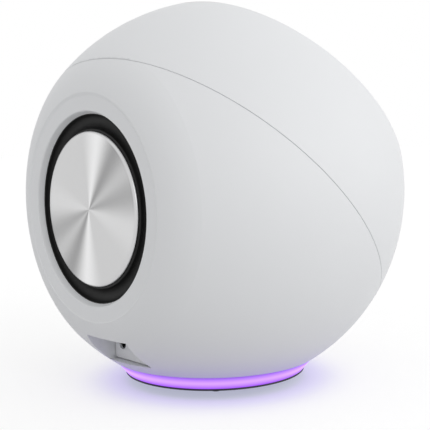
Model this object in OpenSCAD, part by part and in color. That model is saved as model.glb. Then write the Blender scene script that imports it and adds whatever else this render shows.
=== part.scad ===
// Round desktop speaker: a ball cabinet with a tilted driver in front,
// a passive radiator behind, and a lit base ring.  Millimetres, +Z up,
// front towards -Y, origin on the desk under the middle of the ball.

/* [Ball] */
// Radius of the round cabinet
ball_r = 65.2; // [64.6:0.2:66]
// How far the ball's outline would dip below the desk
ball_sink = 2.2; // [2:0.1:2.6]
// Tilt of the driver's axis above the horizontal
drive_tilt = 45; // [43:1:47]
// Thickness of the moulded shells
wall = 2.4; // [2.2:0.1:2.6]
// How far the seam lies behind the ball's middle, along the driver's axis
seam_back = 0.9; // [0.5:0.1:1.3]
// Width of the gap that shows at the seam
seam_gap = 0.3; // [0.2:0.05:0.4]

/* [Front rim] */
// Angle of the front cap's rim from the driver's axis
rim_angle = 42.98; // [42.6:0.1:43.4]
// How far the rim stands proud of the ball
rim_swell = 1.1; // [0.8:0.1:1.4]
// Radius of the rounded lip
lip_r = 1.2; // [1:0.1:1.3]
// Depth of the baffle's front face below the rim
baffle_drop = 7.9; // [7.6:0.1:8.2]

/* [Radiator land] */
// How far the radiator's axis lies below the ball's middle
radiator_drop = 1.1; // [0.8:0.1:1.4]
// Distance of the flat land behind the ball's middle, as a share of the ball's radius
land_share = 0.775; // [0.77:0.001:0.78]
// How far the flat land reaches past the crown of the curve that leads into it
land_past = 3.68; // [3.5:0.02:3.9]
// Thickness of the shell at the land
land_wall = 2; // [1.8:0.1:2.2]
// How far the curve that leads from the ball to the land would rise above the land
blend_rise = 0.64; // [0.5:0.02:0.8]
// Angle from the radiator's axis at which that curve starts
blend_angle = 47.3; // [46:0.1:48]
// Width of the land round the radiator's mouth
land_w = 4.6; // [4.4:0.1:4.8]
// Draft of the opening, narrower inside
mouth_draft = 1; // [0.8:0.1:1.2]

/* [Radiator] */
// Width of the rubber that shows round the disc
roll_w = 5.15; // [4.9:0.05:5.4]
// Radius of the disc's rounded edge
disc_edge = 1.4; // [1.3:0.1:1.5]
// Rise of the disc's middle above its seat
disc_rise = 1.6; // [1.5:0.1:1.7]
// How much higher the disc's middle is than its edge
disc_crown = 0.1; // [0.05:0.05:0.2]
// Thickness of the rubber surround
rubber = 0.7; // [0.6:0.05:0.8]
// Width of the rubber flange clamped behind the land
clamp_w = 3; // [2.7:0.1:3.2]
// Depth of the radiator's frame behind the rubber
frame_depth = 7; // [6.5:0.5:7.5]
// Travel of the radiator, each way
radiator_travel = 3.5; // [2.5:0.5:4]

/* [Driver] */
// Width of the baffle between the driver's frame and the rim
baffle_w = 7.4; // [7:0.1:7.6]
// Width of the frame and the surround round the cone
cone_inset = 13.2; // [12.9:0.1:13.5]
// Radius of the voice coil's former, inside
former_r = 9.55; // [9.5:0.05:9.6]
// Depth of the cone from its edge to the coil
cone_depth = 8.6; // [8:0.2:9]
// How much smaller the magnet's radius is than the frame's
magnet_inset = 15.3; // [14:0.1:16]
// Thickness of the ring magnet
magnet_t = 10; // [9:0.5:11]
// Travel of the cone, each way
cone_travel = 2.5; // [2:0.5:2.5]

/* [Base] */
// Height of the cabinet's lower edge
skirt_z = 8.35; // [8.1:0.05:8.6]
// Height of the base plate's underside
plate_z = 2.65; // [2.4:0.05:2.9]
// Height of the lower edge of the light ring
ring_z = 3.6; // [3.5:0.05:3.8]
// How much narrower the light ring is at its lower edge
ring_lean = 3.36; // [3:0.02:3.8]
// Distance of each foot from the light ring's lower edge
foot_inset = 9.2; // [8.6:0.2:10]
// Radius of each foot
foot_r = 4.6; // [4:0.2:5]
// Radius of each foot's flat sole
sole_r = 2; // [1.6:0.1:2.4]
// Angle of the feet from the front and rear
foot_angle = 50; // [45:1:55]
// Number of light sources
led_count = 16; // [8:4:20]

/* [Connectors] */
// Width of the connector recess
recess_w = 20.3; // [20:0.1:21]
// Height of the connector recess
recess_h = 9.3; // [9:0.1:9.6]
// Sideways place of the recess's middle
recess_x = -3.85; // [-5:0.05:-3]
// Height of the recess's floor above the desk
recess_z = 11.9; // [11.7:0.1:12.1]
// How far the recess's end wall lies inside the ball's outline
recess_inset = 28.5; // [28.2:0.1:29]
// Radius of the audio socket's hole
jack_hole_r = 1.8; // [1.75:0.01:1.85]

/* [Controls] */
// Angle of the controls from the driver's axis
control_angle = 67; // [65:1:68]
// Radius of the volume knob
knob_r = 8.6; // [8:0.2:9]
// How far the knob stands out of the ball
knob_out = 6.6; // [6:0.2:7.5]
// Radius of each push button
button_r = 3.6; // [3.2:0.1:3.8]
// Distance of each button from the knob's axis
button_at = 16; // [15.5:0.5:17]
// Travel of a button
button_travel = 0.5; // [0.3:0.1:0.5]

/* [Circuit board] */
// Gap between the main board's edge and the cabinet's wall
board_margin = 1.8; // [1.4:0.1:2.4]
// Thickness of the circuit boards
board_t = 1.6; // [1.5:0.1:1.7]
// Gap between the main board and the cabinet's floor
board_gap = 2.95; // [2.7:0.05:3.1]

/* [Hidden] */
$fn = 96;
eps = 0.05;
far = 2 * ball_r;
ball_z = ball_r - ball_sink;
fit = 0.2;                 // clearance round a piece that is put in
slide = 0.1;               // clearance round a piece that slides

// Front cap: one arc from the seam to the rim, its middle off the axis
rim_r = (ball_r + rim_swell) * sin(rim_angle);
rim_h = (ball_r + rim_swell) * cos(rim_angle);
cap_c = (ball_r * ball_r - rim_r * rim_r - rim_h * rim_h) / (2 * (ball_r - rim_r));
cap_arc = ball_r - cap_c;
cap_h = -seam_back + seam_gap / 2;
rear_h = -seam_back - seam_gap / 2;
rim_wall = 2.2;
rim_in = rim_r - 1.9;      // inside of the rim's inner wall
baffle_h = rim_h - baffle_drop;
baffle_t = 2.4;
driver_r = rim_r - baffle_w;
baffle_hole = driver_r - 5.4;
tongue_t = 1.3;
tongue_h = 3.6;
tongue_out = ball_r - wall - 0.4;
hook_h = 8;
hook_t = 1.2;
hook_in = ball_r - wall - 3.4;          // inner face of each hook's arm
hook_angles = [0, 45, 135, 180, 225, 270, 315];
catch_h = rear_h - 5.4;
rib_count = 12;

// Radiator, measured along its own axis from the ball's middle
radiator_z = ball_z - radiator_drop;
land_y = ball_r * land_share;
blend_turn = blend_angle - 1;           // the curve starts at a very slight crease
blend_r = (land_y + blend_rise - ball_r * cos(blend_angle)) / (1 - cos(blend_turn));
blend_c = ball_r * [sin(blend_angle), cos(blend_angle)] - blend_r * [sin(blend_turn), cos(blend_turn)];
land_r = blend_c[0] + land_past;
mouth_r = land_r - land_w;
seat_y = land_y - land_wall;            // inner face of the land
throat_r = mouth_r - mouth_draft;       // visible outer edge of the rubber
clamp_r = mouth_r + clamp_w;
disc_r = throat_r - roll_w;
roll_c = (throat_r + disc_r) / 2;
roll_r = (throat_r - disc_r) / 2 + 0.3;
frame_y = seat_y - rubber;
ear_y = frame_y - frame_depth;
ear_t = 1.6;
ear_at = clamp_r + 6.7;
ear_r = 3;
frame_in = roll_c + roll_r + 0.3;
frame_wall = 1.8;
backer_r = disc_r - 0.9;
backer_t = 1.5;
weight_r = disc_r / 2 - 0.325;
weight_t = 3;

// Driver, measured along its axis from the ball's middle
gasket_t = 0.6;
flange_t = 1.2;
flange_h = baffle_h + gasket_t;
face_h = flange_h + flange_t;           // face that carries the surround
rim_rubber = 0.6;
cone_r = driver_r - cone_inset;
surround_c = cone_r + 2.6;
surround_r = 2.6;
surround_out = driver_r - 5.6;
magnet_r = driver_r - magnet_inset;
neck_h = face_h - cone_depth;
cone_t = 0.6;
former_t = 0.25;
coil_t = 0.6;
pole_r = former_r - 0.45;
gap_r = former_r + former_t + coil_t + 0.5;
top_plate_t = 4;
plate_top = neck_h - 8.6;               // front face of the top plate
magnet_top = plate_top - top_plate_t;
yoke_top = magnet_top - magnet_t;
yoke_t = 4;
plate_r = magnet_r - 2.5;
spider_h = plate_top + 5;
spider_r = driver_r - 15.2;
spider_waves = 4;
basket_r = spider_r + 2;                // outside of the basket at the spider
basket_in = surround_out - 2;           // inside of the basket's front ring
screw_at = driver_r - 2.2;

// Base
skirt_r = sqrt(ball_r * ball_r - pow(ball_z - skirt_z, 2));
floor_t = 2;
floor_z = skirt_z + floor_t;
plate_t = 1.25;
ring_low_r = skirt_r - ring_lean;
foot_at = ring_low_r - foot_inset;
pillar_at = foot_at - 3.7;
pillar_r = 3;
screw_seat = plate_z + 2.6;
screw_top = floor_z + board_gap - 0.25;   // top of each screw pillar
ring_t = 1.6;
ring_flange = 1.2;
led_board_z = plate_z + plate_t + 1.4;
led_board_t = 1.2;
led_out = ring_low_r - 4.2;
led_in = led_out - 4.6;
led = [2.6, 2.8, 1.0];

// Main board
board_z = floor_z + board_gap;
board_top = board_z + board_t;
board_r = sqrt(pow(ball_r - wall, 2) - pow(ball_z - board_z, 2)) - board_margin;
recess_y = ball_r - recess_inset;
recess_wall = 1.8;
recess_back = recess_y - recess_wall;
board_back = recess_back - 0.3;
board_front = -24;
board_posts = [[-24, -14], [24, -14], [-22, 20], [22, 20]];
usb = [8.94, 7.35, 3.26];
usb_x = recess_x - 4.1;
jack_x = recess_x + 5.9;
jack = [6.2, 11.5, 5];
jack_nose_r = 2.6;
jack_front = recess_back - 0.2 - jack[1];
header_at = [[-15, -16, 4], [3, -18, 2], [14, 22, 3]];

// Controls, measured along their axis from the ball's middle
cap_here = cap_c * sin(control_angle)
    + sqrt(cap_arc * cap_arc - pow(cap_c * cos(control_angle), 2));
seat_t = cap_here - 2.2;                // floor of the knob's pocket
pad_t = seat_t - wall;                  // inner face of the pad
pocket_r = knob_r + 0.9;
knob_low = seat_t + 0.3;
knob_top = cap_here + knob_out;
nut_t = 2;
bush_r = 3.5;
bush_top = seat_t + 2.6;
shaft_r = 3;
pot_t = pad_t - 3.2;                    // front of the control's body
pot = [9.6, 10.6, 5];
panel_t = pot_t - pot[2];               // front of the control board
panel = [43, 13];
post_at = 9.2;
sleeve_t = pad_t - 1.8;                 // end of each button's sleeve
button_flange = 1.1;
button_low = panel_t + 5;               // top of the switch's plunger
switch = [6, 6, 3.5];
plunger_r = 1.7;

module on_driver_axis() translate([0, 0, ball_z]) rotate([90 - drive_tilt, 0, 0]) children();
module on_rear_axis() translate([0, 0, ball_z]) rotate([-90, 0, 0]) children();
module on_radiator_axis() translate([0, 0, radiator_z]) rotate([-90, 0, 0]) children();
module on_control_axis()
    translate([0, 0, ball_z]) rotate([90 - drive_tilt + control_angle, 0, 0]) children();
module around(n, at = 0, start = 0)
    for (i = [0 : n - 1]) rotate([0, 0, start + i * 360 / n]) translate([at, 0, 0]) children();
module ring(r_out, r_in, low, high)
    translate([0, 0, low]) difference() {
        cylinder(r = r_out, h = high - low);
        translate([0, 0, -1]) cylinder(r = r_in, h = high - low + 2);
    }
module disc(r, low, high) translate([0, 0, low]) cylinder(r = r, h = high - low);
module right_half() translate([0, -far]) square([far, 2 * far]);
module block(size, at) translate([at[0] - size[0] / 2, at[1] - size[1] / 2, at[2]]) cube(size);

// Pan-head screw, head upwards, its head's underside at z = 0
module screw(head_r, head_t, shank_r, length) {
    difference() {
        cylinder(r = head_r, h = head_t, $fn = 48);
        translate([0, 0, head_t * 0.45]) {
            block([head_r * 1.2, head_r * 0.3, head_t], [0, 0, 0]);
            block([head_r * 0.3, head_r * 1.2, head_t], [0, 0, 0]);
        }
    }
    translate([0, 0, -length]) cylinder(r = shank_r, h = length + eps, $fn = 48);
}

// ---- cabinet ------------------------------------------------------------

// Half section of the rear body with its blend into the land, axis upwards
module rear_section(inset) {
    intersection() {
        right_half();
        circle(r = ball_r - inset);
        union() {
            polygon([[0, 0], far * blend_c, [far, -far], [0, -far]]);
            translate(blend_c) circle(r = blend_r - inset);
            square([blend_c[0], blend_c[1] + blend_r - inset]);
        }
    }
}
// What the blend takes off the ball, for the strip of it beyond the seam
module blend_cut() on_rear_axis() rotate_extrude() difference() {
    intersection() {
        right_half();
        polygon([0.9 * blend_c, far * blend_c, [0.9 * blend_c[0], far]]);
    }
    rear_section(0);
}

module rear_body(inset) on_rear_axis() rotate_extrude() rear_section(inset);

// The land's flat and bevelled cut, and the drafted mouth through it
module land_cut() on_radiator_axis() rotate_extrude() union() {
    polygon([[0, land_y], [land_r, land_y], [land_r + 4, land_y + 1.456], [land_r + 4, far], [0, far]]);
    polygon([[0, seat_y - 3], [throat_r, seat_y - 3], [throat_r, seat_y],
        [mouth_r - 0.3, land_y - 0.3], [mouth_r, land_y + eps], [0, land_y + eps]]);
}

module recess_box(grow)
    translate([recess_x - recess_w / 2 - grow, recess_y - grow, recess_z - grow])
        cube([recess_w + 2 * grow, far, recess_h + 2 * grow]);

module rear_shell() color("white") difference() {
    union() {
        difference() {
            rear_body(0);
            intersection() {
                rear_body(wall);
                translate([-far, -far, floor_z]) cube([2 * far, far + seat_y, 2 * far]);
            }
        }
        intersection() {
            rear_body(wall / 2);
            union() {
                recess_box(recess_wall);
                on_radiator_axis() ring(ear_at - 1.2, clamp_r + fit, frame_y, land_y - 0.5);
                on_radiator_axis() around(4, ear_at, 45) disc(ear_r, ear_y, seat_y - 0.6);
                around(4, pillar_at, 0) disc(pillar_r, floor_z - eps, screw_top);
                for (p = board_posts) translate([p[0], p[1], floor_z - eps]) cylinder(r = 2.6, h = board_gap + eps);
                on_driver_axis() for (a = hook_angles) rotate([0, 0, a])
                    translate([hook_in + hook_t + 0.3, -3.5, catch_h]) cube([4, 7, 1.6]);
            }
        }
    }
    on_driver_axis() disc(far, rear_h, far);
    translate([0, 0, skirt_z - far]) cylinder(r = far, h = far);
    land_cut();
    recess_box(0);
    on_radiator_axis() around(4, ear_at, 45) disc(1, ear_y - 1, ear_y + 5);
    around(4, pillar_at, 0) disc(1.2, skirt_z - 1, screw_top - 0.4);
    for (p = board_posts) translate([p[0], p[1], floor_z - 0.6]) cylinder(r = 1, h = board_gap + 1);
    translate([usb_x, 0, board_top + usb[2] / 2]) socket_slot(usb[0] + 2 * fit, usb[2] + 2 * fit);
    translate([jack_x, recess_back - 1, board_top + jack[2] / 2])
        rotate([-90, 0, 0]) cylinder(r = jack_nose_r + fit, h = recess_wall + 2);
    translate([0, 12, skirt_z - 1]) cylinder(r = 2.2, h = floor_t + 2);
}

// Round-ended slot through the end wall of the recess
module socket_slot(w, h) translate([0, recess_back - 1, 0]) rotate([-90, 0, 0])
    linear_extrude(recess_wall + 2) slot_2d(w, h);
module slot_2d(w, h) union() {
    square([w - h, h], center = true);
    for (s = [-1, 1]) translate([s * (w - h) / 2, 0]) circle(d = h, $fn = 48);
}

module front_section() intersection() {
    right_half();
    union() {
        difference() {                                  // outer skin
            translate([cap_c, 0]) circle(r = cap_arc);
            translate([cap_c, 0]) circle(r = cap_arc - wall);
            translate([-far, cap_h - far]) square([2 * far, far]);
            polygon([[cap_c, 0], far * (lip_middle() - [cap_c, 0]), [-far, far], [-far, 0]]);
        }
        translate(lip_middle()) circle(r = lip_r, $fn = 48);
        translate([rim_in, baffle_h - baffle_t]) square([rim_wall, rim_h - lip_r - baffle_h + baffle_t]);
        translate([baffle_hole, baffle_h - baffle_t]) square([rim_in - baffle_hole + 1, baffle_t]);
    }
}
// Tongue that centres the cap inside the rear shell
module tongue_section() polygon([[tongue_out - tongue_t, rear_h - tongue_h], [tongue_out, rear_h - tongue_h],
    [tongue_out + 0.2, cap_h + 1.5], [tongue_out - tongue_t, cap_h + 1.5]]);
module tongue_root() polygon([[tongue_out - tongue_t + 0.1, cap_h], [ball_r - wall + 1.2, cap_h],
    [ball_r - wall + 1, cap_h + 3], [tongue_out - tongue_t + 0.1, cap_h + 3]]);
function lip_middle() = [cap_c + sqrt(pow(cap_arc - lip_r, 2) - pow(rim_h - lip_r, 2)), rim_h - lip_r];

module front_shell() color("white") difference() {
    union() {
        on_driver_axis() {
            rotate_extrude() front_section();
            rotate_extrude() tongue_root();
            around(rib_count, 0, 15) cap_rib();
        }
        intersection() {
            on_driver_axis() {
                rotate_extrude() tongue_section();
                for (a = hook_angles) rotate([0, 0, a]) snap_hook();
            }
            rear_body(wall + fit);
        }
        intersection() {
            on_driver_axis() rotate_extrude() intersection() {
                right_half();
                translate([cap_c, 0]) circle(r = cap_arc - wall / 2);
            }
            on_control_axis() {
                disc(pocket_r + 2, pad_t, far);
                for (s = [-1, 1]) {
                    translate([s * post_at, 0, 0]) disc(2.1, panel_t, pad_t + 1);
                    translate([s * button_at, 0, 0]) disc(button_r + 1.9, sleeve_t, far);
                }
            }
        }
    }
    on_control_axis() {
        disc(pocket_r, seat_t, far);
        disc(bush_r + fit, pad_t - 1, far);
        for (s = [-1, 1]) {
            translate([s * button_at, 0, 0]) disc(button_r + slide + 0.05, sleeve_t - 1, far);
            translate([s * post_at, 0, 0]) disc(0.8, panel_t - 1, panel_t + 6);
        }
    }
    blend_cut();
    on_driver_axis() {
        around(4, screw_at, 45) disc(1.1, baffle_h - baffle_t - 1, baffle_h + 1);
        around(4, rim_in - 2.6, 0) disc(1.25, baffle_h - baffle_t - 1, baffle_h + 1);
    }
}

// Hook that reaches behind the rear shell's catch
module snap_hook() {
    translate([hook_in, -2.5, rear_h - hook_h]) cube([hook_t, 5, hook_h + 2]);
    translate([hook_in, -2.5, rear_h - hook_h]) cube([hook_t + 1.2, 5, catch_h - 0.2 - rear_h + hook_h]);
    translate([hook_in, -2.5, rear_h - 3]) cube([hook_t + 1.2, 5, 5]);
}

// Rib between the rim's inner wall and the skin
module cap_rib() intersection() {
    rotate([90, 0, 0]) translate([0, 0, -0.6]) linear_extrude(1.2) intersection() {
        translate([cap_c, 0]) circle(r = cap_arc - wall / 2);
        polygon([[rim_in + 1, rim_h - 3], [rim_in + 1, baffle_h - baffle_t],
            [ball_r - wall - 7, baffle_h - baffle_t - 8], [far, baffle_h - baffle_t - 8], [far, rim_h - 3]]);
    }
}

module seam_seal() color("dimgray") on_driver_axis() ring(ball_r - 1.2, ball_r - wall + 0.2, rear_h, cap_h);

module trim_ring() color("black") on_driver_axis() {
    rotate_extrude() polygon([[surround_out + 0.4, face_h], [surround_out + 1.2, face_h],
        [surround_out + 1.4, face_h + 1.9], [rim_in - 0.2, rim_h - 3.4], [rim_in - 0.2, rim_h - 2],
        [rim_in - 0.8, rim_h - 2], [surround_out + 2.4, face_h + 2.9], [surround_out + 0.9, face_h + 2.2],
        [surround_out + 0.4, face_h + 1.2]]);
    around(4, rim_in - 2.6, 0) disc(1.2, baffle_h - baffle_t, rim_h - 3.4);
}

// ---- base ---------------------------------------------------------------

module light_ring() color("violet") difference() {
    rotate_extrude() intersection() {
        translate([0, ring_z]) square([far, skirt_z - ring_z]);
        difference() {
            union() {
                ring_arc(0);
                translate([0, skirt_z - ring_flange]) square([skirt_r - 2, ring_flange]);
            }
            difference() {
                ring_arc(ring_t);
                translate([0, skirt_z - ring_flange]) square([far, ring_flange]);
            }
            translate([0, -1]) square([led_out + 1.8, far]);
        }
    }
}
// Convex outer face of the ring: an arc that stands upright at its top
module ring_arc(inset) {
    drop = skirt_z - ring_z;
    step = skirt_r - ring_low_r;
    arc_r = (step * step + drop * drop) / (2 * step);
    union() {
        translate([skirt_r - arc_r, skirt_z]) circle(r = arc_r - inset);
        square([skirt_r - arc_r, skirt_z]);
    }
}

module base_plate() color("dimgray") difference() {
    union() {
        rotate_extrude() polygon([[0, plate_z], [ring_low_r - 2.2, plate_z], [ring_low_r - 0.2, ring_z],
            [led_out + 1.6, ring_z], [led_out + 1.6, skirt_z - ring_flange - 0.1],
            [led_out + 0.4, skirt_z - ring_flange - 0.1], [led_out + 0.4, plate_z + plate_t], [0, plate_z + plate_t]]);
        around(4, pillar_at, 0) disc(pillar_r + 0.7, plate_z + plate_t - eps, skirt_z);
        around(4, led_in + 1.2, 45) disc(1.6, plate_z + plate_t - eps, led_board_z);
    }
    around(4, pillar_at, 0) {
        disc(1.6, plate_z - 1, skirt_z + 1);
        disc(2.8, plate_z - 1, screw_seat);
    }
    for (a = foot_places()) rotate([0, 0, a]) translate([foot_at, 0, 0]) disc(foot_r, plate_z - 1, plate_z + 0.5);
}
function foot_places() = [90 - foot_angle, 90 + foot_angle, -90 - foot_angle, -90 + foot_angle];

// Low rubber domes with a flat sole
module feet() color("dimgray") for (a = foot_places()) rotate([0, 0, a]) translate([foot_at, 0, 0])
    rotate_extrude() union() {
        intersection() {
            square([foot_r, plate_z]);
            translate([0, foot_dome()]) circle(r = norm([sole_r, foot_dome()]), $fn = 64);
        }
        translate([0, plate_z - eps]) square([foot_r - 0.1, 0.5 + eps]);
    }
// Height of the dome's middle, for an arc through the sole's edge and the foot's edge
function foot_dome() = (pow(foot_r - 0.1, 2) + plate_z * plate_z - sole_r * sole_r) / (2 * plate_z);

module base_screws() color("silver") around(4, pillar_at, 0)
    translate([0, 0, screw_seat]) rotate([180, 0, 0]) screw(2.5, 1.6, 1.2, screw_top - 0.6 - screw_seat);

module led_board() color("green") ring(led_out, led_in, led_board_z, led_board_z + led_board_t);

module leds() color("white") around(led_count, led_out - led[0] / 2 - 0.2, 11.25)
    block(led, [0, 0, led_board_z + led_board_t]);

// ---- driver -------------------------------------------------------------

module driver_frame() color("dimgray") on_driver_axis() difference() {
    union() {
        difference() {
            rotate_extrude() union() {
                polygon([[basket_in, face_h], [driver_r, face_h], [driver_r, flange_h],
                    [basket_in + 1.4, flange_h], [basket_r, spider_h + 1], [basket_r, spider_h - 1.6],
                    [plate_r - 0.6, plate_top], [plate_r - 2.2, plate_top], [spider_r - 1.4, spider_h - 1.4],
                    [spider_r - 1.4, spider_h - 0.3], [spider_r + 0.4, spider_h - 0.3],
                    [basket_r - 1.4, spider_h + 1], [basket_in, flange_h]]);
            }
            around(6, 0, 0) translate([plate_r - 2, -6, spider_h + 1.6])
                cube([driver_r, 12, flange_h - spider_h - 3.2]);
        }
        rotate_extrude() polygon([[gap_r + 1.2, plate_top], [plate_r - 1, plate_top],
            [plate_r - 1, plate_top + 1], [gap_r + 1.2, plate_top + 1]]);
    }
    around(4, screw_at, 45) disc(1.5, flange_h - 1, face_h + 1);
}

module driver_gasket() color("dimgray") on_driver_axis() difference() {
    ring(driver_r, baffle_hole, baffle_h, flange_h);
    around(4, screw_at, 45) disc(1.5, baffle_h - 1, flange_h + 1);
}

module driver_screws() color("black") on_driver_axis() around(4, screw_at, 45)
    translate([0, 0, face_h]) screw(1.9, 1.3, 1.1, flange_t + gasket_t + baffle_t + 2);

module driver_magnet() color("dimgray") on_driver_axis() ring(magnet_r, gap_r + 2.6, yoke_top, magnet_top);

module driver_top_plate() color("silver") on_driver_axis() ring(plate_r, gap_r, magnet_top, plate_top);

module driver_yoke() color("silver") on_driver_axis() rotate_extrude()
    polygon([[0, yoke_top - yoke_t], [plate_r - 1, yoke_top - yoke_t], [plate_r, yoke_top - yoke_t + 1],
        [plate_r, yoke_top], [pole_r, yoke_top], [pole_r, plate_top + 0.4], [0, plate_top + 0.4]]);

module driver_terminals() color("tan") on_driver_axis() rotate([0, 0, 90]) {
    block([1.6, 12, 5], [basket_r + 0.8, 0, spider_h - 4]);
    for (s = [-1, 1]) block([5, 2.8, 0.8], [basket_r + 1.6 + 2.5, s * 3.4, spider_h - 2]);
}

module driver_spider() color("goldenrod") on_driver_axis() rotate_extrude() union() {
    collar = former_r + former_t;
    wave_r = (spider_r - 2.4 - collar) / (2 * spider_waves);
    translate([spider_r - 2.3, spider_h - 0.3]) square([2.4, 0.5]);
    for (i = [0 : spider_waves - 1])
        translate([collar + 0.3 + (2 * i + 1) * wave_r, spider_h]) wave(wave_r, 0.5, i % 2);
    translate([collar, spider_h - 0.25]) square([0.6, 0.5]);
}
// One half ring of a corrugation, rising or falling
module wave(r, t, falling) difference() {
    circle(r = r + t / 2, $fn = 48);
    circle(r = r - t / 2, $fn = 48);
    translate([-2 * r, falling ? 0 : -2 * r]) square([4 * r, 2 * r]);
}

module driver_surround() color("black") on_driver_axis() rotate_extrude() union() {
    translate([surround_c + surround_r - 0.3, face_h]) square([surround_out - surround_c - surround_r + 0.3, rim_rubber]);
    translate([surround_c, face_h + rim_rubber / 2]) wave(surround_r, rim_rubber, 0);
    translate([cone_r - 1.4, face_h]) square([1.7, rim_rubber]);
}

// Flared cone: two arcs of one middle, from the coil to the surround
module driver_cone() color("dimgray") on_driver_axis() rotate_extrude() union() {
    intersection() {
        translate([former_r + former_t, neck_h - 1]) square([cone_r - former_r - former_t, cone_depth + 1]);
        difference() {
            translate(cone_middle()) circle(r = cone_arc() + cone_t / 2, $fn = 256);
            translate(cone_middle()) circle(r = cone_arc() - cone_t / 2, $fn = 256);
        }
    }
    translate([former_r + former_t, neck_h - 1.6]) square([0.6, 2.6]);
    translate([cone_r - 1.6, face_h - cone_t]) square([1.6, cone_t]);
}
function cone_arc() = 45;
function cone_run() = [cone_r - former_r - former_t, cone_depth];
function cone_middle() = let (run = cone_run(), half = norm(run) / 2,
        off = sqrt(cone_arc() * cone_arc() - half * half))
    [former_r + former_t, neck_h] + run / 2 + [run[1], -run[0]] / (2 * half) * off;

module dust_cap() color("silver") on_driver_axis() {
    cap_r = former_r + former_t + 2.2;
    dome = 24;
    base_h = neck_h + 2.2;
    rotate_extrude() intersection() {
        translate([0, base_h]) square([cap_r, 10]);
        difference() {
            translate([0, base_h - sqrt(dome * dome - cap_r * cap_r)]) circle(r = dome);
            translate([0, base_h - sqrt(dome * dome - cap_r * cap_r)]) circle(r = dome - 0.5);
        }
    }
}

module coil_former() color("goldenrod") on_driver_axis()
    ring(former_r + former_t, former_r, plate_top - top_plate_t - 1.2, neck_h + 2);

module voice_coil() color("orangered") on_driver_axis()
    ring(former_r + former_t + coil_t, former_r + former_t, plate_top - top_plate_t - 0.8, plate_top + 1.2);

// ---- radiator -----------------------------------------------------------

module radiator_frame() color("dimgray") on_radiator_axis() difference() {
    union() {
        ring(clamp_r + frame_wall - 0.4, frame_in, frame_y - 1.4, frame_y);
        ring(clamp_r + frame_wall - 0.4, clamp_r - 0.4, ear_y - ear_t, frame_y);
        around(4, 0, 45) intersection() {
            disc(ear_at + ear_r, ear_y - ear_t, ear_y);
            union() {
                translate([ear_at, 0, 0]) disc(ear_r, ear_y - ear_t, ear_y);
                block([ear_at - clamp_r, 2 * ear_r, ear_t], [(ear_at + clamp_r) / 2, 0, ear_y - ear_t]);
            }
        }
    }
    around(4, ear_at, 45) disc(1.4, ear_y - ear_t - 1, ear_y + 1);
}

module radiator_surround() color("black") on_radiator_axis() rotate_extrude() union() {
    translate([roll_c + roll_r - rubber / 2, frame_y]) square([clamp_r - roll_c - roll_r + rubber / 2, rubber]);
    translate([roll_c, seat_y - rubber / 2]) wave(roll_r - rubber / 2, rubber, 1);
    translate([backer_r - 2.4, frame_y]) square([roll_c - roll_r + rubber / 2 - backer_r + 2.4, rubber]);
}

// Spun metal disc: a rounded edge and a face that rises a little to the middle
module radiator_disc() color("silver") on_radiator_axis() rotate_extrude() intersection() {
    translate([0, seat_y]) square([disc_r, disc_rise + 1]);
    union() {
        polygon([[0, seat_y], [disc_r - disc_edge, seat_y],
            [disc_r - disc_edge, seat_y + disc_rise - disc_crown], [0, seat_y + disc_rise]]);
        translate([disc_r - disc_edge, seat_y + disc_rise - disc_crown - disc_edge]) circle(r = disc_edge, $fn = 64);
    }
}

module radiator_backer() color("dimgray") on_radiator_axis() union() {
    disc(backer_r - 2.6, frame_y - eps, seat_y);
    disc(backer_r, frame_y - backer_t, frame_y);
}

module radiator_weight() color("silver") on_radiator_axis()
    ring(weight_r, 3, frame_y - backer_t - weight_t, frame_y - backer_t);

module radiator_screws() color("silver") on_radiator_axis() around(4, ear_at, 45)
    translate([0, 0, ear_y - ear_t]) rotate([180, 0, 0]) screw(2.3, 1.4, 1, 6);

// ---- electronics --------------------------------------------------------

module main_board() color("green") difference() {
    intersection() {
        disc(board_r, board_z, board_top);
        translate([-far, board_front, 0]) cube([2 * far, board_back - board_front, far]);
    }
    for (p = board_posts) translate([p[0], p[1], board_z - 1]) cylinder(r = 1.3, h = board_t + 2);
}

module board_screws() color("silver") for (p = board_posts)
    translate([p[0], p[1], board_top]) screw(2.3, 1.4, 1, board_t + board_gap);

module usb_c_socket() color("silver") translate([usb_x, recess_y - 0.3 - usb[1], board_top + usb[2] / 2])
    rotate([-90, 0, 0]) {
        difference() {
            linear_extrude(usb[1]) slot_2d(usb[0], usb[2]);
            translate([0, 0, 1]) linear_extrude(usb[1]) slot_2d(usb[0] - 0.6, usb[2] - 0.6);
        }
        block([6.7, 0.7, usb[1] - 1.4], [0, 0, 0.8]);
    }

module audio_socket() color("black") translate([jack_x, 0, board_top]) difference() {
    union() {
        translate([-jack[0] / 2, jack_front, 0]) cube(jack);
        translate([0, recess_back - 0.3, jack[2] / 2]) rotate([-90, 0, 0])
            cylinder(r = jack_nose_r, h = recess_wall + 0.1);
    }
    translate([0, recess_back - jack[1] + 1, jack[2] / 2]) rotate([-90, 0, 0])
        cylinder(r = jack_hole_r, h = jack[1] + recess_wall + 2);
}

module amplifier_chip() color("dimgray") block([9, 9, 1.2], [-6, 0, board_top]);

module heat_sink() color("silver") translate([-6, 0, board_top + 1.2]) {
    block([16, 16, 1.6], [0, 0, 0]);
    for (i = [-3 : 3]) block([1.1, 16, 6.4], [i * 2.4, 0, 1.6 - eps]);
}

module capacitors() color("dimgray") for (p = [[12, 9], [21.5, 4], [12, -1.5]])
    translate([p[0], p[1], board_top]) {
        cylinder(r = 4, h = 1);
        translate([0, 0, 1 - eps]) cylinder(r = 3.6, h = 0.6 + 2 * eps);
        translate([0, 0, 1.6]) cylinder(r = 4, h = 9.4);
    }

module inductors() color("dimgray") for (p = [[-20, 4], [-20, -6]]) {
    block([7, 7, 3.6], [p[0], p[1], board_top]);
    translate([p[0], p[1], board_top + 3.6 - eps]) cylinder(r = 3, h = 0.4 + eps);
}

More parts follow.
